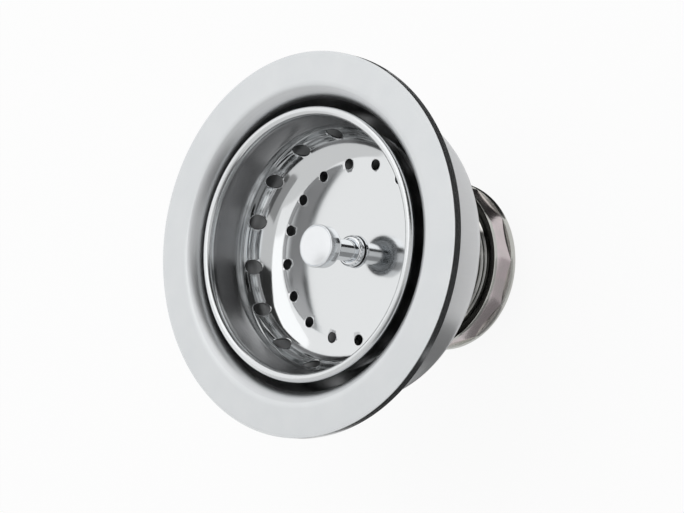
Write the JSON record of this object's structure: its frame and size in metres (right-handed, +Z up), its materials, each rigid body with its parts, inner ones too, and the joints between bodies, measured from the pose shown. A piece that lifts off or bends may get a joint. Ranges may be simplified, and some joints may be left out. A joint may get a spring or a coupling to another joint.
{
  "type": "sink basket strainer",
  "caption": "Kitchen-sink basket strainer with a wide flange, lift-out perforated basket on a knobbed post, clamp cup, locknut and coupling nut.",
  "frame": {"origin": "on the strainer's axis, at the bottom face of the coupling nut", "axes": "+Z up along the axis towards the flange, X and Y across it"},
  "size_m": [0.1142, 0.1142, 0.071],
  "materials": {
    "stainless": "satin and polished stainless sheet",
    "plated": "bright chrome plate",
    "zinc": "die-cast zinc, slightly rough",
    "brass": "plain turned brass",
    "rubber": "moulded black rubber",
    "fibre": "pressed brown fibre",
    "nylon": "moulded white nylon"
  },
  "bodies": {
    "strainer_body": {"flange_bowl": "stainless", "flange_gasket": "rubber", "threaded_spigot": "plated", "neck_seal": "rubber", "post_crossbar": "stainless", "post_grommet": "rubber"},
    "clamp_cup": {"outer_cup": "stainless", "sink_gasket": "rubber", "friction_washer": "fibre"},
    "locknut": {"clamp_locknut": "zinc"},
    "slip_carrier": {"slip_washer": "nylon"},
    "pipe_nut": {"coupling_nut": "zinc"},
    "post": {"post_shaft": "plated", "knob_body": "plated", "knob_cap": "plated", "post_collar": "plated", "stopper_washer": "stainless", "rubber_stopper": "rubber", "stopper_retainer": "stainless", "stopper_nut": "brass"},
    "basket": {"basket_shell": "stainless", "floor_bush": "nylon"}
  },
  "joints": [
    {"name": "basket_lift", "type": "slide", "parent": "strainer_body", "child": "post", "axis": [0, 0, 1], "range_m": [0, 0.055]},
    {"name": "basket_turn", "type": "hinge", "parent": "post", "child": "basket", "pos_m": [0, 0, 0.046], "axis": [0, 0, 1], "continuous": true},
    {"name": "clamp_slide", "type": "slide", "parent": "strainer_body", "child": "clamp_cup", "axis": [0, 0, 1], "range_m": [-0.01, 0]},
    {"name": "locknut_turn", "type": "hinge", "parent": "clamp_cup", "child": "locknut", "pos_m": [0, 0, 0.028], "axis": [0, 0, 1], "range_deg": [-1629, 0]},
    {"name": "slip_slide", "type": "slide", "parent": "strainer_body", "child": "slip_carrier", "axis": [0, 0, 1], "range_m": [-0.008, 0]},
    {"name": "coupling_nut_turn", "type": "hinge", "parent": "slip_carrier", "child": "pipe_nut", "pos_m": [0, 0, 0.0055], "axis": [0, 0, 1], "range_deg": [-1303, 0]}
  ],
  "couplings": [
    {"joint": "clamp_slide", "follows": "locknut_turn", "m_per_rad": 0.0003515},
    {"joint": "slip_slide", "follows": "coupling_nut_turn", "m_per_rad": 0.0003515}
  ]
}
